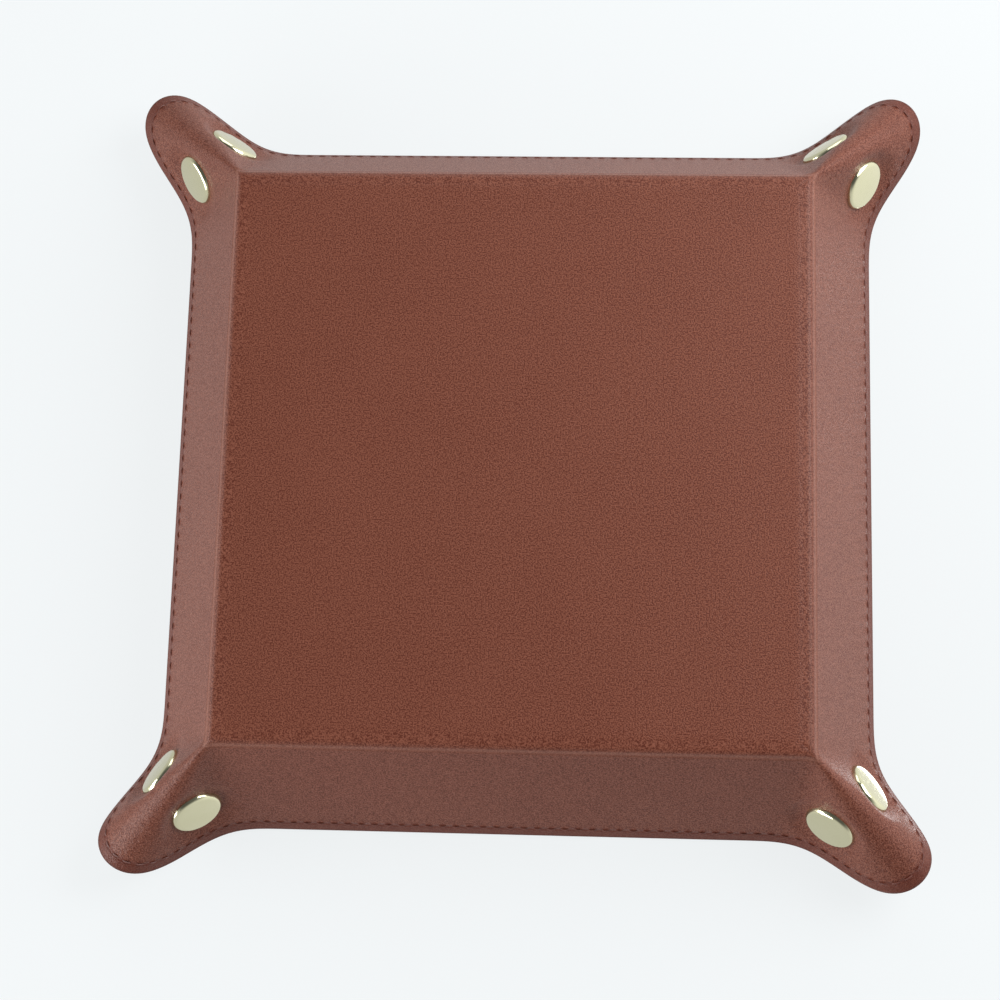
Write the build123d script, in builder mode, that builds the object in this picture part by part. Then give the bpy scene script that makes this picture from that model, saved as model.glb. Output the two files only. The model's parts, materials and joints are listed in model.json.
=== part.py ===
"""Leather snap valet tray, open at its corners, standing on its flat base.

Millimetres, +Z up, origin in the middle of the underside. The outer leather and the lining are
each one sheet on the real tray. Here they are divided along the fold lines, because every panel
between two folds turns by itself when the tray is opened out flat.
"""

from build123d import *
from math import acos, asin, atan, atan2, cos, hypot, radians, sin, sqrt, tan
import os

# Driving dimensions of the tray
base_side = 160.0            # from fold line to fold line
wall_slant = 45.0            # from the fold line to the rim, along the wall
fold_angle = 62.5            # how steep the walls stand, degrees
lobe_radius = 30.0           # rounding of the flat sheet's four corners

# Leathers and board
outer_leather = 1.4
lining_leather = 1.0
base_board = 1.2
base_fold_radius = 4.5       # outside of the bend between base and wall
base_corner_radius = 3.0
seam_gap = 0.3               # air between panels that turn against each other
board_clearance = 1.4        # board and base lining stay clear of the turning bend

# Rounded ridge of each corner ear
ridge_start = 5.5            # where the ridge bend begins, measured from the base corner
ridge_radius_start = 2.8
ridge_radius_end = 5.4

# Snap fasteners: cap and socket or stud on each side of every ear
cap_diameter = 15.0
cap_dome = 1.5
cap_lip = 0.5                # straight edge of the cap under its dome
cap_from_corner = 30.6       # middle of the cap, measured from the base corner
cap_from_fold = 7.9          # middle of the cap, measured from the fold beside the wall
post_diameter = 4.0
post_fit = 0.1               # room for the post in the leather, on the radius
socket_diameter = 10.5
socket_height = 3.4
socket_mouth = 5.0
socket_depth = 2.4
stud_flange_diameter = 9.5
stud_flange = 1.1
stud_diameter = 4.6
stud_height = 3.2
rounding = 0.4               # small edges of the snap parts

ear_steps = 40               # rounds in which the ear's angles are worked out


def ear_angles():
    """Spread, slope and bend of a corner ear, so that the leather keeps its size when it is folded.

    The planes of a corner's two flaps meet in a line that lies outside the rounded ridge. The spread
    is the angle in the flap from the wall's end to that line, and the slope is how steep it rises.
    The bend is the turn over half the ridge, which takes less leather than a sharp fold there would.
    """
    spread = diagonal
    tip_share = ridge_radius_end / ridge_end
    reach = hypot(cos(fold) * sin(diagonal), sin(fold))
    steepest = atan2(sin(fold), cos(fold) * sin(diagonal))
    for _ in range(ear_steps):
        slope = steepest - acos(cos(spread) / reach)
        level = cos(slope) * sin(diagonal)
        bend = asin((2 * level * sin(fold) - sin(slope) * cos(fold)) * sin(diagonal) / sin(spread))
        spread = diagonal + atan(tip_share * tan(bend)) - tip_share * bend
    return spread, slope, bend


# Worked out from the above
fold = radians(fold_angle)
half_base = base_side / 2
diagonal = radians(45)
wall_stack = outer_leather + lining_leather
base_tangent = base_fold_radius * tan(fold / 2)
lobe_centre = wall_slant - lobe_radius
ridge_end = lobe_centre * sqrt(2) + lobe_radius   # from the base corner to the sheet's own corner
ridge_spread, ridge_slope, ridge_bend = ear_angles()
cap_along = sqrt(cap_from_corner ** 2 - cap_from_fold ** 2)

wall_names = ("right", "back", "left", "front")
corner_names = ("back_right", "back_left", "front_left", "front_right")
quarter = 90


def turned(vector, step):
    """The vector, turned about the tray's vertical axis by a number of quarter turns."""
    return Vector(*vector).rotate(Axis.Z, quarter * step)


def ear_directions(step, before_ridge):
    """Directions at one base corner: the wall's end, where the flaps' planes meet, out of the flap.

    before_ridge is the flap that comes first, going round the tray anticlockwise from above.
    """
    end = (cos(fold), 0, sin(fold))
    level = cos(ridge_slope) * sin(diagonal)
    ridge = (level, level, sin(ridge_slope))
    if not before_ridge:
        end = (end[1], end[0], end[2])
    end, ridge = turned(end, step), turned(ridge, step)
    outward = ridge.cross(end) if before_ridge else end.cross(ridge)
    return end, ridge, outward.normalized()


def base_corner(step):
    return turned((half_base, half_base, 0), step)


def flap_plane(step, before_ridge, depth):
    """Plane of a flap, depth under its outer face; x runs along the wall's end."""
    end, _, outward = ear_directions(step, before_ridge)
    return Plane(origin=base_corner(step) - outward * depth, x_dir=end, z_dir=outward)


def flap_side(before_ridge):
    """On which side of the plane's x axis the ridge lies."""
    return -1 if before_ridge else 1


def ridge_radius(along):
    share = (along - ridge_start) / (ridge_end - ridge_start)
    return ridge_radius_start + (ridge_radius_end - ridge_radius_start) * share


def ridge_tangent(along):
    """Distance in the flap from the line where the planes meet to the start of the rounded bend."""
    return ridge_radius(along) * tan(ridge_bend)


def beside_ridge(along, side):
    """Point of the flap's edge beside the rounded bend, in the flap's plane."""
    away = ridge_tangent(along) + seam_gap
    return (along * cos(ridge_spread) + away * sin(ridge_spread),
            side * (along * sin(ridge_spread) - away * cos(ridge_spread)))


def flap_outline(before_ridge):
    """Flat outline of one flap: wall's end, rim, rounded lobe and the edge of the ridge bend."""
    side = flap_side(before_ridge)
    first = ridge_tangent(ridge_start) + seam_gap * 2
    near = beside_ridge(first + seam_gap, side)
    far = beside_ridge(ridge_end, side)
    rim_start = (wall_slant, side * seam_gap / 2)
    lobe_start = (wall_slant, side * lobe_centre)
    centre = Vector(lobe_centre, side * lobe_centre)
    reach = Vector(*far) - centre
    lobe_end = centre + reach.normalized() * lobe_radius
    middle = centre + (reach.normalized() + Vector(1, 0)).normalized() * lobe_radius
    corner = (near[0], side * seam_gap / 2)
    with BuildLine() as outline:
        Line(corner, rim_start)
        Line(rim_start, lobe_start)
        ThreePointArc(lobe_start, middle, lobe_end)
        Line(lobe_end, near)
        Line(near, corner)
    return outline.line


def flap_layer(step, before_ridge, depth, thickness, label):
    """One layer of a flap, with the hole that the snap's post passes through."""
    side = flap_side(before_ridge)
    with BuildPart() as layer:
        with BuildSketch(flap_plane(step, before_ridge, depth)):
            add(flap_outline(before_ridge))
            make_face()
            with Locations((cap_along, side * cap_from_fold)):
                Circle(post_diameter / 2 + post_fit, mode=Mode.SUBTRACT)
        extrude(amount=-thickness)
    layer.part.label = label
    return layer.part


def ridge_section(step, before_ridge, along, depth, thickness):
    """Sector of the rounded ridge in a plane square to it, from the flap's edge to the middle."""
    end, ridge, outward = ear_directions(step, before_ridge)
    across = (end - ridge * cos(ridge_spread)).normalized()
    turn = flap_side(before_ridge)
    plane = Plane(origin=base_corner(step) + ridge * along, x_dir=across, z_dir=ridge * turn)
    radius = ridge_radius(along)
    centre = Vector(ridge_tangent(along), radius)
    last = ridge_bend - seam_gap / 2 / radius

    def point(angle, rim):
        return (centre.X - rim * sin(angle), -(centre.Y - rim * cos(angle)))

    outside, inside = radius - depth, radius - depth - thickness
    with BuildSketch(plane) as section:
        with BuildLine():
            ThreePointArc(point(0, outside), point(last / 2, outside), point(last, outside))
            Line(point(last, outside), point(last, inside))
            ThreePointArc(point(last, inside), point(last / 2, inside), point(0, inside))
            Line(point(0, inside), point(0, outside))
        make_face()
    return section.sketch


def ridge_layer(step, before_ridge, depth, thickness, label):
    """One layer of half a ridge: a bend that widens from the base corner to the ear's tip."""
    with BuildPart() as layer:
        add(ridge_section(step, before_ridge, ridge_start, depth, thickness))
        add(ridge_section(step, before_ridge, ridge_end, depth, thickness))
        loft(ruled=True)
    layer.part.label = label
    return layer.part


def wall_layer(step, depth, thickness, label):
    """One layer of a wall: the bend out of the base and the straight wall up to the rim."""
    outward = turned((1, 0, 0), step)
    along = turned((0, 1, 0), step)
    plane = Plane(origin=outward * half_base, x_dir=outward, z_dir=-along)
    centre = Vector(-base_tangent, base_fold_radius)

    def bend(angle, radius):
        return (centre.X + radius * sin(angle), centre.Y - radius * cos(angle))

    def rim(under):
        return (wall_slant * cos(fold) - under * sin(fold), wall_slant * sin(fold) + under * cos(fold))

    outside, inside = base_fold_radius - depth, base_fold_radius - depth - thickness
    with BuildPart() as layer:
        with BuildSketch(plane):
            with BuildLine():
                ThreePointArc(bend(0, outside), bend(fold / 2, outside), bend(fold, outside))
                Line(bend(fold, outside), rim(depth))
                Line(rim(depth), rim(depth + thickness))
                Line(rim(depth + thickness), bend(fold, inside))
                ThreePointArc(bend(fold, inside), bend(fold / 2, inside), bend(0, inside))
                Line(bend(0, inside), bend(0, outside))
            make_face()
        extrude(amount=half_base - seam_gap / 2, both=True)
        for end in (along, -along):
            corner = outward * (half_base + seam_gap / sqrt(2)) + end * half_base
            split(bisect_by=Plane(origin=corner, z_dir=outward - end), keep=Keep.TOP)
    layer.part.label = label
    return layer.part


def base_plate(half_side, bottom, thickness, label):
    with BuildPart() as plate:
        with BuildSketch(Plane.XY.offset(bottom)):
            RectangleRounded(2 * half_side, 2 * half_side, base_corner_radius)
        extrude(amount=thickness)
    plate.part.label = label
    return plate.part


def snap_axis_plane(step, before_ridge):
    """Section plane of a snap: its x axis lies in the flap and its y axis points out of it."""
    end, _, outward = ear_directions(step, before_ridge)
    plane = flap_plane(step, before_ridge, 0)
    middle = plane.from_local_coords(Vector(cap_along, flap_side(before_ridge) * cap_from_fold, 0))
    return Plane(origin=middle, x_dir=end, z_dir=end.cross(outward))


def snap_cap(step, before_ridge, label):
    """Low domed cap with the post that goes through both leathers."""
    plane = snap_axis_plane(step, before_ridge)
    radius = cap_diameter / 2
    post = post_diameter / 2
    crown = cap_dome - cap_lip
    ball = (radius ** 2 + crown ** 2) / (2 * crown)

    def dome_height(out):
        return cap_dome - ball + sqrt(ball ** 2 - out ** 2)

    with BuildPart() as cap:
        with BuildSketch(plane):
            with BuildLine():
                Line((0, cap_dome), (0, -wall_stack))
                Line((0, -wall_stack), (post, -wall_stack))
                Line((post, -wall_stack), (post, 0))
                Line((post, 0), (radius - rounding, 0))
                Line((radius - rounding, 0), (radius, cap_lip))
                ThreePointArc((radius, cap_lip), (radius / 2, dome_height(radius / 2)), (0, cap_dome))
            make_face()
        revolve(axis=Axis(plane.origin, plane.y_dir))
    cap.part.label = label
    return cap.part


def snap_socket(step, before_ridge, label):
    """Female half: a round socket on the lining, with its mouth towards the other flap."""
    plane = snap_axis_plane(step, before_ridge)
    face, mouth = -wall_stack - socket_height, socket_mouth / 2
    with BuildPart() as socket:
        with BuildSketch(plane):
            with BuildLine():
                Polyline((0, -wall_stack), (socket_diameter / 2, -wall_stack),
                         (socket_diameter / 2, face + 2 * rounding),
                         (socket_diameter / 2 - 2 * rounding, face), (mouth, face),
                         (mouth, face + socket_depth), (0, face + socket_depth), close=True)
            make_face()
        revolve(axis=Axis(plane.origin, plane.y_dir))
    socket.part.label = label
    return socket.part


def snap_stud(step, before_ridge, label):
    """Male half: a flange on the lining and a stud with a bulged head."""
    plane = snap_axis_plane(step, before_ridge)
    flange = -wall_stack - stud_flange
    tip = -wall_stack - stud_height
    neck = stud_diameter / 2 - rounding
    with BuildPart() as stud:
        with BuildSketch(plane):
            with BuildLine():
                Polyline((0, -wall_stack), (stud_flange_diameter / 2, -wall_stack),
                         (stud_flange_diameter / 2, flange + rounding),
                         (stud_flange_diameter / 2 - rounding, flange), (neck, flange),
                         (stud_diameter / 2, tip + 2 * rounding), (neck, tip), (0, tip), close=True)
            make_face()
        revolve(axis=Axis(plane.origin, plane.y_dir))
    stud.part.label = label
    return stud.part


def tray_pieces():
    """Every piece of the tray, each with its own label."""
    pieces = []
    edge = half_base - base_tangent - seam_gap
    inner_edge = half_base - base_tangent - board_clearance
    board_bottom, lining_bottom = outer_leather, outer_leather + base_board
    pieces.append(base_plate(edge, 0, outer_leather, "base_outer_leather"))
    pieces.append(base_plate(inner_edge, board_bottom, base_board, "base_board"))
    pieces.append(base_plate(inner_edge, lining_bottom, lining_leather, "base_lining"))
    for step in range(4):
        wall = wall_names[step]
        pieces.append(wall_layer(step, 0, outer_leather, f"{wall}_wall_outer_leather"))
        pieces.append(wall_layer(step, outer_leather, lining_leather, f"{wall}_wall_lining"))
    for step in range(4):
        for before_ridge in (True, False):
            wall = wall_names[step if before_ridge else (step + 1) % 4]
            place = f"{corner_names[step]}_{wall}"
            flap = (step, before_ridge)
            pieces.append(flap_layer(*flap, 0, outer_leather, f"{place}_flap_outer_leather"))
            pieces.append(flap_layer(*flap, outer_leather, lining_leather, f"{place}_flap_lining"))
            pieces.append(ridge_layer(*flap, 0, outer_leather, f"{place}_ridge_outer_leather"))
            pieces.append(ridge_layer(*flap, outer_leather, lining_leather, f"{place}_ridge_lining"))
            pieces.append(snap_cap(*flap, f"{place}_snap_cap"))
            if before_ridge:
                pieces.append(snap_socket(*flap, f"{place}_snap_socket"))
            else:
                pieces.append(snap_stud(*flap, f"{place}_snap_stud"))
    return pieces


os.makedirs("parts", exist_ok=True)
for piece in tray_pieces():
    export_step(piece, f"parts/{piece.label}.step")
degree = radians(1)
print(f"ear angles: spread {ridge_spread / degree:.2f}, slope {ridge_slope / degree:.2f}, "
      f"bend {ridge_bend / degree:.2f} degrees")
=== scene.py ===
"""Leather snap valet tray in its finish: leathers, thread, painted edge and snap caps.

Metres, +Z up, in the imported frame. The photograph shows the tray turned over, so its camera looks up
at the underside. Each leather is a map from the flat sheet, (u, v) measured from its middle, to the
folded shape, and is divided into the same panels as the frame, which bend into each other at the folds.
"""
import json

import bpy
import numpy as np
from mathutils import Matrix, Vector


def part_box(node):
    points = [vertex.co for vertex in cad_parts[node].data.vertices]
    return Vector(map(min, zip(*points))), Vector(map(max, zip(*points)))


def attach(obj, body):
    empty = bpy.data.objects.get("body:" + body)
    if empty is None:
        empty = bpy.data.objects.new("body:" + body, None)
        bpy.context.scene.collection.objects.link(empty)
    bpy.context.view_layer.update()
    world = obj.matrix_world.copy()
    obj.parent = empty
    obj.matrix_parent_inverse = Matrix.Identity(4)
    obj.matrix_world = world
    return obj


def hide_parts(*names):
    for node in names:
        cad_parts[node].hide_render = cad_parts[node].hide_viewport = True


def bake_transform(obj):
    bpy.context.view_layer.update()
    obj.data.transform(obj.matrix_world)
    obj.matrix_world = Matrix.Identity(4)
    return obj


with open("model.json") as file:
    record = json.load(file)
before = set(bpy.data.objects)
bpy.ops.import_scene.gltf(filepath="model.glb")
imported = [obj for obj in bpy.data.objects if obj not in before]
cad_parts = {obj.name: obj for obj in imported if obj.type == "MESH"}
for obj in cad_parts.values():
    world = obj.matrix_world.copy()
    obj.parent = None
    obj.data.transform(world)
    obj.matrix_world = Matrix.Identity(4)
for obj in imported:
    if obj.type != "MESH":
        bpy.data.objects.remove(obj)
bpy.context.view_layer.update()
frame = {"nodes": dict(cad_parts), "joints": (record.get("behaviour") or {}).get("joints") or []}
MM = 0.001

# Sizes that the frame gives
joints = {joint["name"]: joint for joint in frame["joints"]}
WALLS = ("right", "back", "left", "front")
CORNERS = ("back_right", "back_left", "front_left", "front_right")
FOLD = np.radians(joints["right_wall_fold"]["range_deg"][1])
HALF_BASE = joints["right_wall_fold"]["pos_m"][0]
WALL_SLANT = (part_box("right_wall_outer_leather")[1].x - HALF_BASE) / np.cos(FOLD)
OUTER_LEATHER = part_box("base_board")[0].z
LINING_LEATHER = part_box("base_lining")[1].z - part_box("base_lining")[0].z
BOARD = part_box("base_board")[1].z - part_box("base_board")[0].z
BOARD_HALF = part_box("base_board")[1].x
STACK = OUTER_LEATHER + LINING_LEATHER
RIM_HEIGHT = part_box("right_wall_outer_leather")[1].z

# The flat sheet
LOBE_RADIUS = 30 * MM                 # rounding of its corners
LOBE_CENTRE = WALL_SLANT - LOBE_RADIUS
SHEET_HALF = HALF_BASE + WALL_SLANT
BASE_PANEL_HALF = 76.4 * MM           # the flat middle, up to the start of the bends
WALL_END = np.radians(-23)            # cut between wall and flap, as an angle about the base corner
FLAP_END = np.arctan2(LOBE_CENTRE, WALL_SLANT)   # cut between flap and ridge
DIAGONAL = np.pi / 4

# How an ear's turn is spread, as angles about the base corner in the flat sheet
EAR_AT = np.radians(-1)               # middle of the turn outwards beside the wall
EAR_HALF = np.radians(19)
RIDGE_HALF = np.radians(24)           # the turn inwards over the ridge
CREASE_KERNEL = 2.9 * MM              # reach of the rounding of every fold
BOARD_ROLL = 5.4 * MM                 # its reach on the base, where the leather rolls over the board's edge
ROLL_START = 3 * MM                   # distance inside the base's fold at which it has that reach
# the line beside the fold is also painted paler: partly the stretched leather's own tone, partly a painted
# highlight of the bend
CREASE_LINE = 1.9 * MM                # pressed line beside the base's fold, on the wall
CREASE_HALF = 1.4 * MM                # half its width
KERNEL_RINGS = 4
KERNEL_SPOKES = 16
CAP_PRESS_FULL = 6.6 * MM             # the leather lies flat under a cap
CAP_PRESS_END = 12.5 * MM
PINCH_FULL = 6 * MM                   # an ear's leather is pinched thin up to here from the base corner
PINCH_FADE = 12 * MM                  # and the pinch fades out over this distance
PINCH_EDGE = 3 * MM                   # it fades over twice this distance between wall and ridge
PINCH_LOSS = 0.65                     # share of its thickness that it takes
BOARD_SETTLE = 2.4 * MM               # the lining comes down beside the board over this distance
STRAIN_SPREAD = np.radians(25)        # the leather is drawn over this angle beside the wall's end
STRAIN_START = 4 * MM                 # and over this distance from the base's fold

# Where an ear's leather starts and ends to bend between two bodies: distance and angle about the base
# corner. The ridge's pair lays the folded-out ear flattest, with the smallest steps at its cuts.
EAR_BEND = ((30 * MM, np.radians(-17)), (30 * MM, np.radians(14)))
RIDGE_BEND = ((45.4 * MM, np.radians(15.6)), (50 * MM, np.radians(38)))

# Narrow tongue of a half ridge that lies inside the other half
TONGUE_WIDTH = 1.3 * MM
TONGUE_TAPER = 3 * MM                 # it widens over this distance from the base corner
TONGUE_SHARE = 0.975                  # its length as a share of the ridge
TONGUE_INSET = 0.35                   # share of each leather's thickness by which it is thinner

# Thread and painted edge
STITCH_INSET = 3.7 * MM
STITCH_PITCH = 3.8 * MM
STITCH_LENGTH = 2.7 * MM
THREAD_RADIUS = 0.27 * MM
EDGE_BULGE = 0.28 * MM
EDGE_LAP = 0.35 * MM                  # how far the paint reaches onto both faces
EDGE_POINTS = 9                       # points round the bead
EDGE_OVER_SHARE = 1.03                # the bead's height as a share of the leathers' thickness
EDGE_BACK_SHARES = (0.9, 0.1)         # its hidden back, as shares of that thickness
STITCH_STATIONS = 9                   # points along a stitch
STITCH_AROUND = 6                     # and round it
STITCH_ROUNDNESS = 0.6                # lower values rise more steeply out of the needle hole
STITCH_END_SHARE = 0.55               # thickness of the thread in the hole, as a share
STITCH_SINK_SHARE = 0.75              # how far its ends lie under the surface, of its rise
STITCH_RISE = 1.5                     # rise of the thread as a multiple of its radius
GROOVE_HALF = 0.9 * MM                # half the width of the line that the thread presses
GROOVE_FLOOR = 0.15 * MM              # half the width of the line's deepest part
BORDER_START = 6 * MM                 # the leather darkens from here to the rim
BORDER_FULL = 2 * MM

# Snap cap
CAP_RADIUS = 7.5 * MM
CAP_DOME = 1.5 * MM
CAP_ROLL = 1.5 * MM                   # radius of its rolled shoulder
CAP_SLOPE = np.radians(5)             # slope of the crown where the shoulder begins
POST_RADIUS = 2 * MM
SHOULDER_POINTS = 12
CROWN_POINTS = 10

# Relief, gloss and tone of the leathers, with the painted glints, highlight and shade in that tone
GROOVE_DEPTH = 0.16 * MM
CREASE_DEPTH = 0.22 * MM
PORE_SHARE = 0.12                     # how much the pores lower the pebbles
PEBBLE_RANGE = (0.25, 0.63)           # values of the grain from the deepest pore to the highest pebble
CRINKLE_EVEN, CRINKLE_STRAINED = 0.3, 1.7   # crinkles everywhere, and where the leather is drawn together
# the pebbles' tone is partly the grain's own and partly painted glints, which are their pale neutral tops
PEBBLE_SHARE = 0.85                   # what the pebbles give to the tone, and the clouds give the rest
BORDER_SHARE = 0.6
# share of the border's darker tone in the thread's pressed line: painted shade in that recess
GROOVE_SHADE_SHARE = 0.45
# pale tone of the line beside the base's fold: partly the stretched leather's own, partly a painted
# highlight
CREASE_STRETCH_AND_HIGHLIGHT_SHARE = 0.3
CREASE_STRETCH_AND_HIGHLIGHT_TONE = (158, 112, 96)
LEATHER_GLOSS = 0.24
PORE_ROUGHNESS = 0.1                  # how much rougher the pores are than the pebbles

# Surroundings
TABLE_CLEARANCE = 2 * MM              # the ears' leather reaches under the base when the tray is flat
FLOOR_REACH = 6.0
WINDOW_SIDE = (-0.956, 0.292, 0.0)    # direction from which the photograph is lit
LIT_EVEN, LIT_SQUARED, LIT_ALONG, LIT_LENGTHWISE = 0.4, 0.55, 0.15, 0.06
LIT_POLE_START = 0.4                  # height in a direction from which the light fades towards the poles
LIT_POLE_SHARE = 0.1                  # what is left of the light straight above and below
MIRRORED_EVEN, MIRRORED_SQUARED, MIRRORED_ALONG = 0.76, 0.28, 0.26
MIRRORED_BELOW_RANGE = (-0.88, -0.1)  # height in a direction over which the mirrored room brightens
MIRRORED_BELOW_SHARE = 0.16           # what is left of it under that range

WELD = 0.0005 * MM                    # points closer than this are one
SMALL = 0.05 * MM                     # step in the sheet for slopes
SHARP_EDGE = np.radians(40)           # edges sharper than this aren't shaded smooth


def smooth(t):
    """Smooth step: 0 below 0, 1 above 1."""
    t = np.clip(t, 0, 1)
    return t * t * (3 - 2 * t)


def graded(count):
    """Shares from 0 to 1 that lie close together at both ends."""
    return (1 - np.cos(np.pi * np.linspace(0, 1, count))) / 2


def unit(vectors):
    """The vectors, each made one unit long."""
    return vectors / np.linalg.norm(vectors, axis=-1, keepdims=True)


def dot(a, b):
    """Scalar product of each pair of vectors."""
    return (a * b).sum(-1)


def quarter_turns(u, v, step):
    """The point (u, v) turned anticlockwise by a number of quarter turns."""
    for _ in range(step % 4):
        u, v = -v, u
    return u, v


def ear_curve(steps=720, rounds=6, nudge=1e-5):
    """Directions from the base corner over the angle in the flat sheet, from the crease to the ridge.

    The leather round a base corner is a cone, so its directions form a curve on the unit sphere whose
    length is the angle in the sheet. The curve starts along the wall, turns outwards round the ear's
    foot and inwards over the ridge, each by a raised cosine. The two turns are found by Newton's
    method, so that on the ridge the curve and its normal lie in the corner's plane of symmetry.
    """
    angle = np.linspace(-np.pi / 2, DIAGONAL, steps + 1)
    step = angle[1] - angle[0]
    middle = (angle[:-1] + angle[1:]) / 2

    def share(centre, half):
        x = np.clip((middle - centre) / half, -1, 1)
        raised = 1 + np.cos(np.pi * x)
        return raised / raised.sum()

    outwards, inwards = share(EAR_AT, EAR_HALF), share(DIAGONAL, RIDGE_HALF)
    across = np.array([1, -1, 0]) / np.sqrt(2)

    def walk(turns):
        place = np.array([0.0, -1.0, 0.0])
        along = np.array([np.cos(FOLD), 0.0, np.sin(FOLD)])
        inside = np.cross(place, along)
        places = [place]
        for turn in inwards * turns[1] - outwards * turns[0]:
            place, along = (place * np.cos(step) + along * np.sin(step),
                            along * np.cos(step) - place * np.sin(step))
            along, inside = (along * np.cos(turn) + inside * np.sin(turn),
                             inside * np.cos(turn) - along * np.sin(turn))
            places.append(place)
        return np.array(places), np.array([place @ across, inside @ across])

    turns = np.radians([38, 70])      # first guess
    for _ in range(rounds):
        miss = walk(turns)[1]
        slope = np.stack([(walk(turns + nudge * side)[1] - miss) / nudge for side in np.eye(2)], 1)
        turns = turns - np.linalg.solve(slope, miss)
    return angle, walk(turns)[0]


CURVE_ANGLE, CURVE = ear_curve()


def folded(u, v):
    """Place of the sheet's point (u, v) with every fold of the base still sharp."""
    x, y = np.abs(u), np.abs(v)
    swap = y > x
    x, y = np.where(swap, y, x), np.where(swap, x, y)
    out = np.maximum(x - HALF_BASE, 0)
    away = np.hypot(x - HALF_BASE, y - HALF_BASE)
    angle = np.arctan2(y - HALF_BASE, x - HALF_BASE)
    corner = (out > 0) & (angle > EAR_AT - EAR_HALF)
    cone = [np.interp(angle, CURVE_ANGLE, CURVE[:, axis]) for axis in range(3)]
    px = np.where(corner, HALF_BASE + away * cone[0], np.minimum(x, HALF_BASE) + out * np.cos(FOLD))
    py = np.where(corner, HALF_BASE + away * cone[1], y)
    pz = np.where(corner, away * cone[2], out * np.sin(FOLD))
    px, py = np.where(swap, py, px), np.where(swap, px, py)
    return np.stack([np.copysign(px, u), np.copysign(py, v), pz], -1)


def rounded(u, v):
    """Average of the folded sheet over a small disc round (u, v), which rounds every fold.

    The disc grows from CREASE_KERNEL to BOARD_ROLL on the way from the fold into the base.
    """
    inside = HALF_BASE - np.maximum(np.abs(u), np.abs(v))
    kernel = CREASE_KERNEL + (BOARD_ROLL - CREASE_KERNEL) * smooth(inside / ROLL_START)
    total, weights = folded(u, v), 1.0
    for ring in range(1, KERNEL_RINGS + 1):
        share = ring / (KERNEL_RINGS + 0.5)
        weight = ring * np.sqrt(1 - share ** 2) / 2
        for spoke in range(KERNEL_SPOKES):
            turn = 2 * np.pi * (spoke + ring % 2 / 2) / KERNEL_SPOKES
            reach = kernel * share
            total = total + weight * folded(u + reach * np.cos(turn), v + reach * np.sin(turn))
            weights += weight
    return total / weights


def cap_seats():
    """Middle and outward direction of each cap's seat, from the frame's own caps.

    The direction is the one in which the cap's surface spreads least, and the seat lies under the
    dome by the dome's height.
    """
    seats = {}
    for name, node in frame["nodes"].items():
        if not name.endswith("_snap_cap"):
            continue
        mesh = node.data
        centres = np.empty(len(mesh.polygons) * 3)
        areas = np.empty(len(mesh.polygons))
        mesh.polygons.foreach_get("center", centres)
        mesh.polygons.foreach_get("area", areas)
        centres = centres.reshape(-1, 3)
        middle = (centres * areas[:, None]).sum(0) / areas.sum()
        spread = ((centres - middle) * areas[:, None]).T @ (centres - middle)
        axis = np.linalg.eigh(spread)[1][:, 0]
        axis = axis if axis[2] < 0 else -axis
        top = ((centres - middle) @ axis).max()
        seats[name] = (middle + axis * (top - CAP_DOME), axis)
    return seats


SEATS = cap_seats()


def pressed(points):
    """The leather near a cap, drawn onto the flat seat of that cap."""
    for seat, axis in SEATS.values():
        height = (points - seat) @ axis
        beside = np.linalg.norm(points - seat - height[..., None] * axis, axis=-1)
        hold = 1 - smooth((beside - CAP_PRESS_FULL) / (CAP_PRESS_END - CAP_PRESS_FULL))
        hold = np.where(np.abs(height) < CAP_RADIUS, hold, 0)
        points = points - axis * (height * hold)[..., None]
    return points


def skin(u, v):
    """Place of the outer face of the leather."""
    return pressed(rounded(np.asarray(u, float), np.asarray(v, float)))


def skin_frame(u, v):
    """Place of the outer face and its outward normal, by small steps in the sheet."""
    along_u = skin(u + SMALL, v) - skin(u - SMALL, v)
    along_v = skin(u, v + SMALL) - skin(u, v - SMALL)
    return skin(u, v), unit(np.cross(along_v, along_u))


def squeeze(u, v):
    """Share of its thickness that the leather keeps, less where an ear's ridge is pinched tight."""
    x, y = np.abs(u) - HALF_BASE, np.abs(v) - HALF_BASE
    near = 1 - smooth((np.hypot(x, y) - PINCH_FULL) / PINCH_FADE)
    return 1 - PINCH_LOSS * near * smooth((np.minimum(x, y) + PINCH_EDGE) / (2 * PINCH_EDGE))


def board_lift(u, v):
    """How far the lining stands off the outer leather: over the board, then down beside its edge."""
    outside = np.maximum(np.abs(u), np.abs(v)) - BOARD_HALF
    return BOARD * (1 - smooth(outside / BOARD_SETTLE))


def strain(u, v):
    """How much the leather is drawn together: 0 on base and walls, rising to 1 round each ear."""
    x = np.maximum(np.abs(u), np.abs(v)) - HALF_BASE
    y = np.minimum(np.abs(u), np.abs(v)) - HALF_BASE
    return smooth(np.arctan2(y, x) / STRAIN_SPREAD + 1) * smooth(x / STRAIN_START)


def rim_distance(u, v):
    """Distance in the flat sheet from (u, v) to its rounded square outline."""
    x, y = np.abs(u) - (SHEET_HALF - LOBE_RADIUS), np.abs(v) - (SHEET_HALF - LOBE_RADIUS)
    outside = np.hypot(np.maximum(x, 0), np.maximum(y, 0)) + np.minimum(np.maximum(x, y), 0)
    return LOBE_RADIUS - outside


def rim_reach(angle):
    """Distance from the base corner to the rim in the direction of the angle."""
    middle = LOBE_CENTRE * (np.cos(angle) + np.sin(angle))
    arc = middle + np.sqrt(np.maximum(middle ** 2 - 2 * LOBE_CENTRE ** 2 + LOBE_RADIUS ** 2, 0))
    return np.where(angle < FLAP_END, WALL_SLANT / np.cos(angle), arc)


def wall_half_width(u):
    """Half the width of a wall panel: along the base's diagonal, then along the cut to the flaps."""
    return np.where(u < HALF_BASE, u, HALF_BASE + (u - HALF_BASE) * np.tan(WALL_END))


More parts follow.
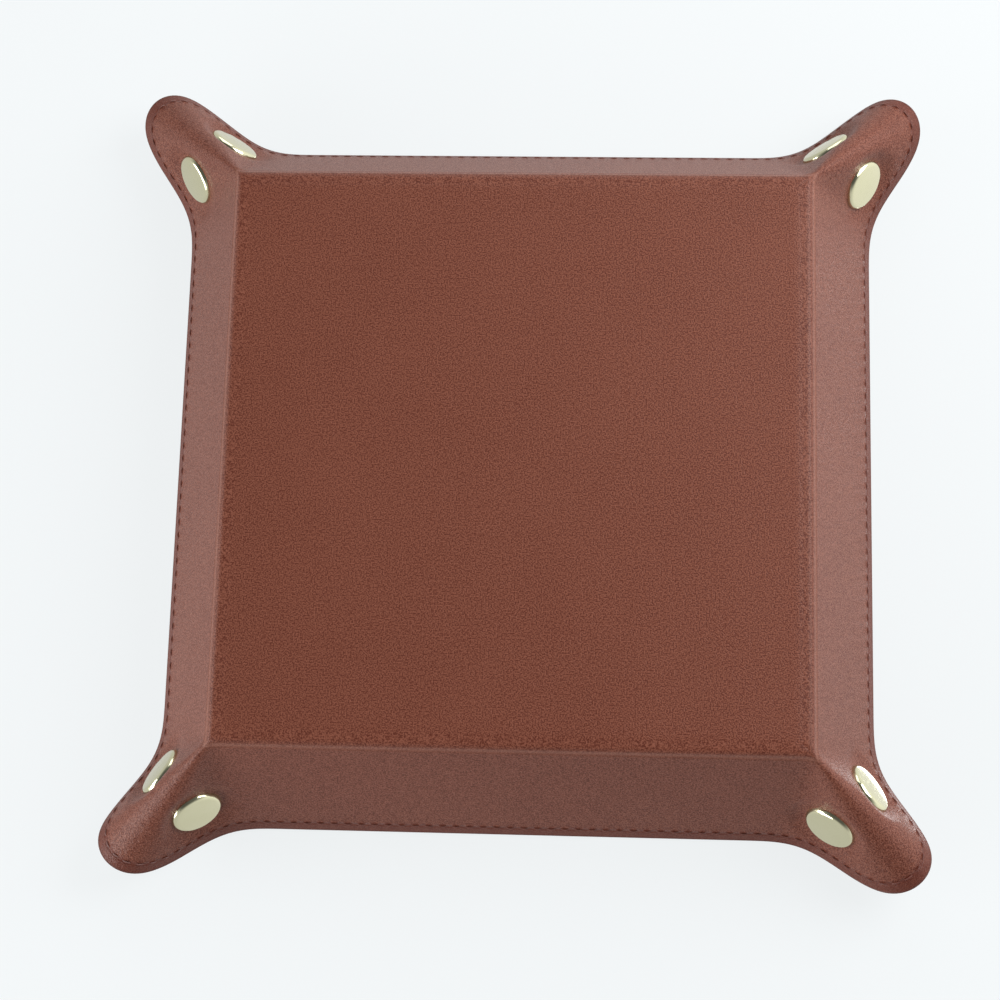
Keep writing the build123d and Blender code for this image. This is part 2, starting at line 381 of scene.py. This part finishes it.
# Fineness of the panels' grids
ROWS = graded(40)                     # shares of the way from the base to the rim
WALL_COLUMNS = 2 * graded(81) - 1     # places across a wall, from -1 to 1
BEND_ROWS = 7
CORNER_COLUMNS = 34


def wall_panel(step):
    """Sheet points of one wall, with its bend out of the base."""
    bend = BASE_PANEL_HALF + (HALF_BASE - BASE_PANEL_HALF) * np.linspace(0, 1, BEND_ROWS)[:-1]
    u = np.concatenate([bend, HALF_BASE + WALL_SLANT * ROWS])[:, None]
    return quarter_turns(u + 0 * WALL_COLUMNS, wall_half_width(u) * WALL_COLUMNS, step)


def corner_point(step, before_ridge, away, angle):
    """Sheet point at a distance and an angle about a base corner."""
    u, v = HALF_BASE + away * np.cos(angle), HALF_BASE + away * np.sin(angle)
    return quarter_turns(*((u, v) if before_ridge else (v, u)), step)


def corner_panel(step, before_ridge, first, last):
    """Sheet points of one sector about a base corner, from the corner to the rim."""
    angle = first + (last - first) * graded(CORNER_COLUMNS)
    return corner_point(step, before_ridge, ROWS[:, None] * rim_reach(angle), angle)


def ridge_tongue(step, before_ridge):
    """Sheet points of the narrow tongue of a half ridge, past the diagonal and just short of the rim.

    It lies inside the other half's leather, and narrows the slit between the halves when the tray is
    flat.
    """
    away = ROWS[:, None] * rim_reach(DIAGONAL) * TONGUE_SHARE
    width = TONGUE_WIDTH * smooth(away / TONGUE_TAPER) * [0, 1]
    u = HALF_BASE + (away - width) * np.cos(DIAGONAL)
    v = HALF_BASE + (away + width) * np.sin(DIAGONAL)
    return quarter_turns(*((u, v) if before_ridge else (v, u)), step)


class Panel:
    """One panel of the sheet: its points, the bodies that carry it and where it bends between them."""

    def __init__(self, name, sheet, bodies, start=None, end=None, tongue=None):
        self.name, self.sheet, self.bodies = name, sheet, bodies
        self.start, self.end, self.tongue = start, end, tongue

    def carry(self, piece):
        """Lets the panel's body carry a piece where there is one; where there are two, it only bakes the
        piece's place into its points.
        """
        if len(self.bodies) == 1:
            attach(piece, self.bodies[0])
        else:
            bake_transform(piece)


def panels():
    """All panels of the sheet: the base, four walls, eight flaps and eight halves of a ridge."""
    edge = BASE_PANEL_HALF * WALL_COLUMNS
    made = [Panel("base", np.meshgrid(edge, edge, indexing="ij"), ["base"])]
    for step, wall in enumerate(WALLS):
        bend = (HALF_BASE - CREASE_KERNEL, HALF_BASE + CREASE_KERNEL)
        start, end = [skin(*quarter_turns(np.array(u), np.array(0.0), step)) for u in bend]
        made.append(Panel(f"{wall}_wall", wall_panel(step), ["base", f"{wall}_wall"], start, end))
    for step, corner in enumerate(CORNERS):
        for before in (True, False):
            wall = WALLS[(step + (not before)) % 4]
            flap, ridge = f"{corner}_{wall}_flap", f"{corner}_{wall}_ridge"
            start, end = [skin(*corner_point(step, before, *place)) for place in EAR_BEND]
            made.append(Panel(flap, corner_panel(step, before, WALL_END, FLAP_END),
                              [f"{wall}_wall", flap], start, end))
            start, end = [skin(*corner_point(step, before, *place)) for place in RIDGE_BEND]
            made.append(Panel(ridge, corner_panel(step, before, FLAP_END, DIAGONAL),
                              [flap, ridge], start, end, ridge_tongue(step, before)))
    return made


def grid_faces(rows, columns, first=0):
    """Two triangles for each cell of a grid of points, which are numbered row by row."""
    cell = first + np.arange(rows * columns).reshape(rows, columns)
    a, b, c, d = cell[:-1, :-1], cell[1:, :-1], cell[1:, 1:], cell[:-1, 1:]
    return np.concatenate([np.stack([a, b, c], -1), np.stack([a, c, d], -1)]).reshape(-1, 3)


def closed_mesh(name, points, faces, material, values=None):
    """Piece from closed triangles: doubles welded, slivers dropped and faces turned outwards."""
    cells = np.round(points / WELD).astype(np.int64)
    _, first, index = np.unique(cells, axis=0, return_index=True, return_inverse=True)
    faces = index.ravel()[faces]
    a, b, c = faces.T
    faces = faces[(a != b) & (b != c) & (c != a)]
    kept = points[first]
    a, b, c = [kept[column] for column in faces.T]
    if dot(a, np.cross(b, c)).sum() < 0:
        faces = faces[:, ::-1]
    mesh = bpy.data.meshes.new(name)
    mesh.from_pydata(kept, [], faces)
    mesh.shade_smooth()
    mesh.set_sharp_from_angle(angle=SHARP_EDGE)
    for key, value in (values or {}).items():
        attribute = mesh.attributes.new(key, "FLOAT", "POINT")
        attribute.data.foreach_set("value", value.ravel()[first].astype(np.float32))
    mesh.materials.append(material)
    piece = bpy.data.objects.new(name, mesh)
    bpy.context.scene.collection.objects.link(piece)
    return piece


def slab(name, top, under, material, values=None):
    """Closed shell between two grids of points, with walls round their edges."""
    rows, columns = top.shape[:2]
    count = rows * columns
    cell = np.arange(count).reshape(rows, columns)
    loop = np.concatenate([cell[0], cell[1:, -1], cell[-1, -2::-1], cell[-2::-1, 0]])
    a, b = loop[:-1], loop[1:]
    walls = np.concatenate([np.stack([a, b, b + count], -1), np.stack([a, b + count, a + count], -1)])
    faces = np.concatenate([grid_faces(rows, columns), grid_faces(rows, columns, count)[:, ::-1], walls])
    points = np.concatenate([top.reshape(-1, 3), under.reshape(-1, 3)])
    doubled = {key: np.concatenate([value.ravel()] * 2) for key, value in (values or {}).items()}
    return closed_mesh(name, points, faces, material, doubled)


def tubes(rings):
    """Points and faces of closed tubes: rings is tubes x stations x points round each station."""
    count, stations, around = rings.shape[:3]
    middle = rings.mean(2, keepdims=True)
    ends = [np.broadcast_to(middle[:, [i]], rings[:, [i]].shape) for i in (0, -1)]
    rings = np.concatenate([ends[0], rings, ends[1]], 1)
    rings = np.concatenate([rings, rings[:, :, :1]], 2)
    size = (stations + 2) * (around + 1)
    faces = grid_faces(stations + 2, around + 1)
    faces = (faces + size * np.arange(count)[:, None, None]).reshape(-1, 3)
    return rings.reshape(-1, 3), faces


def add_node(tree, kind, inputs=None, **settings):
    """Shader node with its settings, and its inputs set to values or linked to sockets."""
    made = tree.nodes.new(kind)
    for key, value in settings.items():
        setattr(made, key, value)
    for key, value in (inputs or {}).items():
        if isinstance(value, bpy.types.NodeSocket):
            tree.links.new(value, made.inputs[key])
        else:
            made.inputs[key].default_value = value
    return made


def colour(red, green, blue):
    """A colour given as it looks on screen, 0 to 255, in the linear values of a shader."""
    share = np.array([red, green, blue]) / 255
    linear = np.where(share > 0.04045, ((share + 0.055) / 1.055) ** 2.4, share / 12.92)
    return (*linear.tolist(), 1.0)


def maths(tree, operation, a, b=0.0):
    """Output of a math node on two values or sockets."""
    return add_node(tree, "ShaderNodeMath", {0: a, 1: b}, operation=operation).outputs[0]


def weighted(tree, total, *terms):
    """The total plus each value times its weight."""
    for value, weight in terms:
        total = maths(tree, "ADD", maths(tree, "MULTIPLY", value, weight), total)
    return total


def noise(tree, scale, detail=2.0, **inputs):
    """Noise over the tray's own space, with its scale in cells to the metre."""
    place = add_node(tree, "ShaderNodeTexCoord").outputs["Object"]
    return add_node(tree, "ShaderNodeTexNoise",
                    {"Vector": place, "Scale": scale, "Detail": detail, **inputs}).outputs["Fac"]


def blended(tree, share, a, b):
    """Mix of two colours by a share."""
    mix = add_node(tree, "ShaderNodeMix", {0: share, 6: a, 7: b}, data_type="RGBA")
    return mix.outputs[2]


def ranged(tree, value, low, high, to_low=0.0, to_high=1.0):
    """The value's range from low to high, carried to another range with smooth ends."""
    made = add_node(tree, "ShaderNodeMapRange", {0: value, 1: low, 2: high, 3: to_low, 4: to_high},
                    interpolation_type="SMOOTHSTEP")
    return made.outputs[0]


def relief(tree, shader, height, distance=1.0):
    """Fine relief of a surface: the height, times the distance in metres."""
    bump = add_node(tree, "ShaderNodeBump", {"Height": height, "Distance": distance, "Strength": 1.0})
    tree.links.new(bump.outputs[0], shader.inputs["Normal"])


def new_group(name, inputs, outputs):
    """Shader node group with named number inputs and number outputs."""
    group = bpy.data.node_groups.new(name, "ShaderNodeTree")
    for key, value in inputs.items():
        socket = group.interface.new_socket(key, in_out="INPUT", socket_type="NodeSocketFloat")
        socket.default_value = value
    for key in outputs:
        group.interface.new_socket(key, in_out="OUTPUT", socket_type="NodeSocketFloat")
    return group, group.nodes.new("NodeGroupInput"), group.nodes.new("NodeGroupOutput")


def leather_grain_group():
    """Fine pebbled grain: even small swellings with finer pores, crinkles and slow clouds of tone."""
    group, source, result = new_group("leather_grain", {"Cell": 0.4 * MM, "Strain": 0.0},
                                      ("Pebble", "Cloud", "Height"))
    scale = maths(group, "DIVIDE", 1.0, source.outputs["Cell"])
    place = add_node(group, "ShaderNodeTexCoord").outputs["Object"]
    pores = add_node(group, "ShaderNodeTexVoronoi", {"Vector": place, "Scale": scale}).outputs["Distance"]
    mixed = weighted(group, noise(group, scale, 1.0, Roughness=0.6), (pores, -PORE_SHARE))
    drawn = maths(group, "MULTIPLY", noise(group, 900.0, 3.0, Distortion=1.2),
                  weighted(group, CRINKLE_EVEN, (source.outputs["Strain"], CRINKLE_STRAINED)))
    group.links.new(ranged(group, mixed, *PEBBLE_RANGE), result.inputs["Pebble"])
    group.links.new(noise(group, 30.0, 4.0), result.inputs["Cloud"])
    group.links.new(maths(group, "ADD", mixed, drawn), result.inputs["Height"])
    return group


def rim_marks_group():
    """Marks of a leather: the thread's pressed line, which the leathers paint with shade, the darker
    border, and the line at the base's fold, which they paint paler, partly as the stretched leather's own
    tone and partly as a painted highlight.
    """
    group, _, result = new_group("rim_marks", {}, ("Groove", "Border", "Crease"))
    rim = add_node(group, "ShaderNodeAttribute", attribute_name="rim_distance").outputs["Fac"]
    away = maths(group, "ABSOLUTE", maths(group, "SUBTRACT", rim, STITCH_INSET))
    group.links.new(ranged(group, away, GROOVE_HALF, GROOVE_FLOOR), result.inputs["Groove"])
    group.links.new(ranged(group, rim, BORDER_START, BORDER_FULL), result.inputs["Border"])
    fold = add_node(group, "ShaderNodeAttribute", attribute_name="fold_distance").outputs["Fac"]
    beside = maths(group, "ABSOLUTE", maths(group, "SUBTRACT", fold, CREASE_LINE))
    group.links.new(ranged(group, beside, CREASE_HALF, 0.0), result.inputs["Crease"])
    return group


GRAIN = leather_grain_group()
RIM_MARKS = rim_marks_group()


def new_material(name):
    """Material with its node tree and its Principled shader."""
    material = bpy.data.materials.new(name)
    material.use_nodes = True
    tree = material.node_tree
    return material, tree, tree.nodes["Principled BSDF"]


def use_group(tree, group, **inputs):
    """Outputs of a node group placed in a material with its own values."""
    return add_node(tree, "ShaderNodeGroup", inputs, node_tree=group).outputs


def leather(name, dark, light, border, cell, roughness, depth):
    """Dyed leather: grain whose pale pebble tops are partly painted glints, slow clouds of tone, a darker
    border, and the pressed lines, with painted shade in the thread's line and a pale line at the base's
    fold that is partly a painted highlight.
    """
    material, tree, shader = new_material(name)
    strain = add_node(tree, "ShaderNodeAttribute", attribute_name="strain").outputs["Fac"]
    grain = use_group(tree, GRAIN, Cell=cell, Strain=strain)
    rim = use_group(tree, RIM_MARKS)
    tone = weighted(tree, 0.0, (grain["Pebble"], PEBBLE_SHARE), (grain["Cloud"], 1 - PEBBLE_SHARE))
    # grain tone, its pale end partly painted glints on the pebbles
    pebbled_with_glints = blended(tree, tone, dark, light)
    edged = blended(tree, maths(tree, "MULTIPLY", rim["Border"], BORDER_SHARE), pebbled_with_glints, border)
    # painted shade in the thread's pressed line
    groove_shaded = blended(tree, maths(tree, "MULTIPLY", rim["Groove"], GROOVE_SHADE_SHARE), edged, border)
    # paler line beside the base's fold: the stretched leather's own tone plus a painted highlight
    crease_stretch_and_highlight = blended(tree, maths(tree, "MULTIPLY", rim["Crease"], CREASE_STRETCH_AND_HIGHLIGHT_SHARE), groove_shaded,
                    colour(*CREASE_STRETCH_AND_HIGHLIGHT_TONE))
    tree.links.new(crease_stretch_and_highlight, shader.inputs["Base Color"])
    tree.links.new(ranged(tree, grain["Pebble"], 0.0, 1.0, roughness + PORE_ROUGHNESS, roughness),
                   shader.inputs["Roughness"])
    shader.inputs["Specular IOR Level"].default_value = LEATHER_GLOSS
    relief(tree, shader, weighted(tree, 0.0, (grain["Height"], depth), (rim["Groove"], -GROOVE_DEPTH),
                                  (rim["Crease"], -CREASE_DEPTH)))
    return material


def thread_material():
    """Waxed thread: twisted strands whose paler tones are painted glints, with a relief that catches the
    light.
    """
    material, tree, shader = new_material("waxed_thread")
    strands = noise(tree, 2600.0)
    # the paler strand tones are painted glints
    tree.links.new(blended(tree, strands, colour(66, 28, 22), colour(122, 66, 52)),
                   shader.inputs["Base Color"])
    shader.inputs["Roughness"].default_value = 0.5
    relief(tree, shader, strands, 0.06 * MM)
    return material


def edge_paint_material():
    """Rubber-like edge paint with slight runs and thin spots."""
    material, tree, shader = new_material("edge_paint")
    runs = noise(tree, 420.0, 3.0)
    tree.links.new(blended(tree, runs, colour(52, 30, 26), colour(84, 50, 44)),
                   shader.inputs["Base Color"])
    tree.links.new(ranged(tree, runs, 0.3, 0.7, 0.42, 0.6), shader.inputs["Roughness"])
    relief(tree, shader, runs, 0.12 * MM)
    return material


def plating_material():
    """Polished pale gold plating with faint clouds and hairline scuffs."""
    material, tree, shader = new_material("pale_gold_plating")
    scuffs = noise(tree, 700.0, 4.0)
    tree.links.new(blended(tree, noise(tree, 90.0), colour(206, 204, 168), colour(217, 215, 184)),
                   shader.inputs["Base Color"])
    tree.links.new(ranged(tree, scuffs, 0.45, 0.7, 0.12, 0.24), shader.inputs["Roughness"])
    shader.inputs["Metallic"].default_value = 1.0
    relief(tree, shader, scuffs, 0.01 * MM)
    return material


def board_material():
    """Grey-brown fibre board."""
    material, tree, shader = new_material("fibre_board")
    fibres = noise(tree, 380.0, 6.0)
    tree.links.new(blended(tree, fibres, colour(138, 124, 104), colour(176, 163, 140)),
                   shader.inputs["Base Color"])
    shader.inputs["Roughness"].default_value = 0.9
    relief(tree, shader, fibres, 0.1 * MM)
    return material


# the light colours of the leathers are partly painted glints on the pebble tops
OUTER = leather("outer_leather", colour(78, 28, 13), colour(134, 82, 65), colour(88, 38, 27),
                0.38 * MM, 0.38, 0.11 * MM)
INNER = leather("lining_leather", colour(74, 28, 14), colour(122, 74, 58), colour(80, 38, 26),
                0.5 * MM, 0.42, 0.08 * MM)
THREAD = thread_material()
PAINT = edge_paint_material()
PLATING = plating_material()
BOARD_FIBRE = board_material()


def leather_pieces(panel):
    """Outer leather and lining of one panel, as two closed shells that lie on each other."""
    u, v = panel.sheet
    inset = np.zeros(u.shape[1])
    if panel.tongue:
        u, v = np.hstack([u, panel.tongue[0]]), np.hstack([v, panel.tongue[1]])
        inset = np.append(inset, [TONGUE_INSET] * 2)
    outside, normal = skin_frame(u, v)
    keep, lift = squeeze(u, v), board_lift(u, v)

    def under(depth):
        return outside - normal * depth[..., None]

    values = {"rim_distance": rim_distance(u, v), "strain": strain(u, v),
              "fold_distance": np.maximum(np.abs(u), np.abs(v)) - HALF_BASE}
    outer = OUTER_LEATHER * keep
    layers = (("outer_leather", outer * inset, outer, OUTER, "outer_leather"),
              ("lining", outer + lift, (STACK - LINING_LEATHER * inset) * keep + lift, INNER,
               "lining_leather"))
    for layer, top, bottom, material, slot in layers:
        piece = slab(f"{panel.name}_{layer}_skin", under(top), under(bottom), material, values)
        panel.carry(piece)
        node = panel.name.replace("_flap", "_flap_" + layer).replace("_ridge", "_ridge_" + layer)
        node = node if node in frame["nodes"] else f"{panel.name}_{layer}"
        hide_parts(node)


def edge_paint(panel):
    """Painted bead over the cut edges: an oval profile carried along the panel's rim."""
    u, v = panel.sheet[0][-1], panel.sheet[1][-1]
    centre_u = np.clip(u, -(SHEET_HALF - LOBE_RADIUS), SHEET_HALF - LOBE_RADIUS)
    centre_v = np.clip(v, -(SHEET_HALF - LOBE_RADIUS), SHEET_HALF - LOBE_RADIUS)
    out = unit(np.stack([u - centre_u, v - centre_v], -1))
    edge, normal = skin_frame(u, v)
    outwards = unit(edge - skin(u - out[:, 0] * SMALL, v - out[:, 1] * SMALL))
    turn = np.linspace(-np.pi / 2, np.pi / 2, EDGE_POINTS)
    profile_out = np.concatenate([-EDGE_LAP + (EDGE_LAP + EDGE_BULGE) * np.cos(turn),
                                  [-2 * EDGE_LAP] * len(EDGE_BACK_SHARES)])
    profile_down = np.concatenate([STACK / 2 * (1 + np.sin(turn) * EDGE_OVER_SHARE),
                                   STACK * np.array(EDGE_BACK_SHARES)])
    rings = (edge[:, None] + outwards[:, None] * profile_out[:, None]
             - normal[:, None] * profile_down[:, None])
    piece = closed_mesh(f"{panel.name}_edge_paint", *tubes(rings[None]), PAINT)
    panel.carry(piece)


def outline_point(along):
    """Sheet point on the line of stitches at a distance along it, and the direction of the line."""
    half, radius = SHEET_HALF - STITCH_INSET, LOBE_RADIUS - STITCH_INSET
    run = 2 * (half - radius)
    side = run + radius * np.pi / 2
    step = np.floor(along / side).astype(int) % 4
    rest = along % side
    turn = np.clip((rest - run) / radius, 0, None)
    u = half - radius + radius * np.cos(turn)
    v = np.minimum(rest, run) - run / 2 + radius * np.sin(turn)
    du, dv = -np.sin(turn), np.cos(turn)
    for quarter in range(1, 4):
        later = step >= quarter
        u, v = np.where(later, -v, u), np.where(later, u, v)
        du, dv = np.where(later, -dv, du), np.where(later, du, dv)
    return u, v, du, dv


def panel_names(u, v):
    """Name of the panel that holds each sheet point."""
    step = np.where(np.abs(u) >= np.abs(v), np.where(u > 0, 0, 2), np.where(v > 0, 1, 3))
    out = np.maximum(np.abs(u), np.abs(v))
    side = np.choose(step, [v, -u, -v, u])
    angle = np.arctan2(np.abs(side) - HALF_BASE, out - HALF_BASE)
    names = []
    for quarter, beside, turn in zip(step, side, angle):
        wall = WALLS[quarter]
        corner = CORNERS[quarter if beside > 0 else quarter - 1]
        kind = "flap" if turn < FLAP_END else "ridge"
        names.append(f"{wall}_wall" if turn < WALL_END else f"{corner}_{wall}_{kind}")
    return np.array(names)


def stitch_rings():
    """Every stitch on both faces, from one needle hole to the next, and the name of its panel."""
    radius = LOBE_RADIUS - STITCH_INSET
    length = 8 * (SHEET_HALF - LOBE_RADIUS) + 2 * np.pi * radius
    count = int(round(length / STITCH_PITCH))
    share = np.linspace(0, 1, STITCH_STATIONS)
    start = np.arange(count) * length / count
    middle = start + STITCH_LENGTH / 2
    u, v, du, dv = outline_point(start[:, None] + share * STITCH_LENGTH)
    place, normal = skin_frame(u, v)
    along = unit(skin(u + du * SMALL, v + dv * SMALL) - skin(u - du * SMALL, v - dv * SMALL))
    beside = np.cross(normal, along)
    arch = np.sin(np.pi * share) ** STITCH_ROUNDNESS
    thick = THREAD_RADIUS * (STITCH_END_SHARE + (1 - STITCH_END_SHARE) * arch)
    around = np.linspace(0, 2 * np.pi, STITCH_AROUND + 1)[:-1, None]
    ring = beside[..., None, :] * np.cos(around) + normal[..., None, :] * np.sin(around)
    ring = ring * thick[:, None, None]
    rise = (arch - STITCH_SINK_SHARE) * THREAD_RADIUS * STITCH_RISE
    faces = []
    for depth, out in ((0, 1), (STACK, -1)):
        path = place - normal * (depth - out * rise)[..., None]
        faces.append(path[..., None, :] + ring)
    mid_u, mid_v = outline_point(middle)[:2]
    return np.stack(faces), panel_names(mid_u, mid_v)


def stitching(panel, rings, names):
    """The stitches of one panel, on its outer face and on its lining."""
    own = rings[:, names == panel.name]
    piece = closed_mesh(f"{panel.name}_stitching", *tubes(own.reshape(-1, *own.shape[2:])), THREAD)
    panel.carry(piece)


def cap_profile():
    """Half section of a snap cap with its post: distance from the axis and height over the seat.

    The crown is a shallow arc that runs at CAP_SLOPE into a rolled shoulder. The post goes down
    through both leathers.
    """
    centre = CAP_RADIUS - CAP_ROLL
    edge = centre + CAP_ROLL * np.sin(CAP_SLOPE)
    sink = CAP_DOME - edge * np.tan(CAP_SLOPE / 2) - CAP_ROLL * np.cos(CAP_SLOPE)
    turn = np.linspace(np.arccos(-sink / CAP_ROLL), CAP_SLOPE, SHOULDER_POINTS)
    ball = edge / np.sin(CAP_SLOPE)
    inner = CAP_SLOPE * np.linspace(1, 0, CROWN_POINTS)[1:]
    out = np.concatenate([[0, POST_RADIUS, POST_RADIUS, centre], centre + CAP_ROLL * np.sin(turn),
                          ball * np.sin(inner)])
    up = np.concatenate([[-STACK, -STACK, 0, 0], sink + CAP_ROLL * np.cos(turn),
                         CAP_DOME - ball * (1 - np.cos(inner))])
    return out, up


def snap_cap(name, seat, axis, around=72):
    """Snap cap: its half section carried round the axis."""
    side = unit(np.cross(axis, [0.0, 0.0, 1.0]))
    other = np.cross(axis, side)
    out, up = cap_profile()
    turn = np.linspace(0, 2 * np.pi, around + 1)
    spoke = side * np.cos(turn)[:, None] + other * np.sin(turn)[:, None]
    points = seat + spoke * out[:, None, None] + axis * up[:, None, None]
    faces = grid_faces(len(out), around + 1)
    piece = closed_mesh(f"{name}_polished", points.reshape(-1, 3), faces, PLATING)
    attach(piece, name.replace("_snap_cap", "_flap"))
    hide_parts(name)


def dress_tray():
    """The whole tray: leathers, painted edge, stitches, caps, and finishes for the hidden pieces."""
    rings, names = stitch_rings()
    for panel in panels():
        leather_pieces(panel)
        if panel.name != "base":
            edge_paint(panel)
            stitching(panel, rings, names)
    for name, (seat, axis) in SEATS.items():
        snap_cap(name, seat, axis)
    for name, node in frame["nodes"].items():
        if name.endswith(("_snap_socket", "_snap_stud", "_board")):
            node.data.materials.clear()
            node.data.materials.append(BOARD_FIBRE if name.endswith("_board") else PLATING)


def floor(name, height, facing):
    """Pale floor that shows on one side only: it is see-through from behind and lights nothing."""
    corners = np.array([[-1, -1], [1, -1], [1, 1], [-1, 1]][::facing]) * FLOOR_REACH
    mesh = bpy.data.meshes.new(name)
    mesh.from_pydata([(x, y, height) for x, y in corners], [], [(0, 1, 2, 3)])
    material, tree, shader = new_material(f"{name}_card")
    tree.links.new(blended(tree, noise(tree, 3.0), colour(95, 98, 99), colour(97, 99, 100)),
                   shader.inputs["Base Color"])
    shader.inputs["Emission Color"].default_value = colour(228, 231, 232)
    seen = add_node(tree, "ShaderNodeLightPath").outputs["Is Camera Ray"]
    tree.links.new(seen, shader.inputs["Emission Strength"])
    shader.inputs["Roughness"].default_value = 1.0
    shader.inputs["Specular IOR Level"].default_value = 0.0
    clear = add_node(tree, "ShaderNodeBsdfTransparent")
    behind = add_node(tree, "ShaderNodeNewGeometry").outputs["Backfacing"]
    mix = add_node(tree, "ShaderNodeMixShader", {0: behind, 1: shader.outputs[0], 2: clear.outputs[0]})
    tree.links.new(mix.outputs[0], tree.nodes["Material Output"].inputs["Surface"])
    mesh.materials.append(material)
    piece = bpy.data.objects.new(name, mesh)
    bpy.context.scene.collection.objects.link(piece)
    for ray in ("visible_diffuse", "visible_glossy", "visible_transmission", "visible_shadow",
                "visible_volume_scatter"):
        setattr(piece, ray, False)


def pale_world():
    """Soft pale surroundings, plain white to the camera.

    The light on the tray and the room that metal and gloss mirror are sums of an even part, a part
    that follows a direction's share towards WINDOW_SIDE and a part that follows its square. The light
    also changes along the tray and is dim at both poles, and the mirrored room is dim straight below.
    """
    world = bpy.data.worlds.new("pale_room")
    bpy.context.scene.world = world
    world.use_nodes = True
    tree = world.node_tree
    direction = add_node(tree, "ShaderNodeTexCoord").outputs["Generated"]
    parts = add_node(tree, "ShaderNodeSeparateXYZ", {0: direction}).outputs
    along = add_node(tree, "ShaderNodeVectorMath", {0: direction, 1: WINDOW_SIDE},
                     operation="DOT_PRODUCT").outputs["Value"]
    rays = add_node(tree, "ShaderNodeLightPath").outputs
    squared = maths(tree, "MULTIPLY", along, along)
    lit = weighted(tree, LIT_EVEN, (squared, LIT_SQUARED), (along, LIT_ALONG), (parts["Y"], LIT_LENGTHWISE))
    steep = maths(tree, "ABSOLUTE", parts["Z"])
    lit = maths(tree, "MULTIPLY", lit, ranged(tree, steep, LIT_POLE_START, 1.0, 1.0, LIT_POLE_SHARE))
    mirrored = weighted(tree, MIRRORED_EVEN, (squared, MIRRORED_SQUARED), (along, MIRRORED_ALONG))
    mirrored = maths(tree, "MULTIPLY", mirrored,
                     ranged(tree, parts["Z"], *MIRRORED_BELOW_RANGE, MIRRORED_BELOW_SHARE, 1.0))
    strength = add_node(tree, "ShaderNodeMix", {0: rays["Is Glossy Ray"], 2: lit, 3: mirrored}).outputs[0]
    light = add_node(tree, "ShaderNodeBackground", {"Strength": strength, "Color": colour(255, 255, 255)})
    plain = add_node(tree, "ShaderNodeBackground", {"Strength": 1.0, "Color": colour(244, 247, 248)})
    seen = maths(tree, "MAXIMUM", rays["Is Camera Ray"], rays["Is Transmission Ray"])
    mix = add_node(tree, "ShaderNodeMixShader", {0: seen, 1: light.outputs[0], 2: plain.outputs[0]})
    tree.links.new(mix.outputs[0], tree.nodes["World Output"].inputs["Surface"])


# Name, place in metres, width, length along the tray and watts. The lamps below light the tray as the
# photograph shows it, turned over, and the one overhead lights its inside.
LAMPS = (("key_lamp", (-0.4, 0.18, -0.34), (0.4, 0.4), 3.3),
         ("window_lamp", (0.72, -0.34, -0.2), (0.3, 1.0), 7.6),
         ("far_lamp", (0.0, 0.65, -0.3), (0.5, 0.5), 1.4),
         ("overhead_lamp", (-0.2, 0.15, 0.9), (0.7, 0.7), 5.5))


def soft_lamp(name, place, size, power):
    """Area lamp that faces the tray, with its length along the tray."""
    light = bpy.data.lights.new(name, "AREA")
    light.shape, light.energy = "RECTANGLE", power
    light.size, light.size_y = size
    lamp = bpy.data.objects.new(name, light)
    back = unit(np.array(place, float))
    side = unit(np.cross([0.0, 1.0, 0.0], back))
    turn = Matrix(np.stack([side, np.cross(back, side), back], 1).tolist()).to_4x4()
    lamp.matrix_world = Matrix.Translation(place) @ turn
    bpy.context.scene.collection.objects.link(lamp)


# The photograph's view: the tray lies turned over and the camera looks down at it
FOCAL_PIXELS = 2050
FRAME_PIXELS = 1000
CAMERA_AWAY = 554.3 * MM
CAMERA_TILT, CAMERA_YAW, CAMERA_ROLL = 12.21, -14.71, 13.46
TRAY_SHIFT = (7.21 * MM, 11.79 * MM, 0.0)
CLIP_NEAR, CLIP_FAR = 10 * MM, 100.0


def photo_camera():
    """Camera of the photograph, in the tray's own frame."""
    tilt, yaw, roll = np.radians([CAMERA_TILT, CAMERA_YAW, CAMERA_ROLL])
    level, rising = np.array([1.0, 0, 0]), np.array([0, np.cos(tilt), np.sin(tilt)])
    back = np.array([0, -np.sin(tilt), np.cos(tilt)])
    right = level * np.cos(roll) - rising * np.sin(roll)
    up = level * np.sin(roll) + rising * np.cos(roll)
    unyaw = np.array([[np.cos(yaw), np.sin(yaw), 0], [-np.sin(yaw), np.cos(yaw), 0], [0, 0, 1]])
    to_tray = np.diag([-1.0, 1.0, -1.0]) @ unyaw
    place = to_tray @ (back * CAMERA_AWAY - np.array(TRAY_SHIFT))
    turn = to_tray @ np.stack([right, up, back], 1)
    data = bpy.data.cameras.new("photo_camera")
    data.lens = data.sensor_width * FOCAL_PIXELS / FRAME_PIXELS
    data.clip_start, data.clip_end = CLIP_NEAR, CLIP_FAR
    camera = bpy.data.objects.new("photo_camera", data)
    camera.matrix_world = Matrix.Translation(place.tolist()) @ Matrix(turn.tolist()).to_4x4()
    bpy.context.scene.collection.objects.link(camera)
    bpy.context.scene.camera = camera


dress_tray()
floor("table_under_the_tray", -TABLE_CLEARANCE, 1)
floor("table_of_the_photograph", RIM_HEIGHT + EDGE_BULGE, -1)
pale_world()
for lamp in LAMPS:
    soft_lamp(*lamp)
photo_camera()
bpy.context.scene.view_settings.view_transform = "Standard"
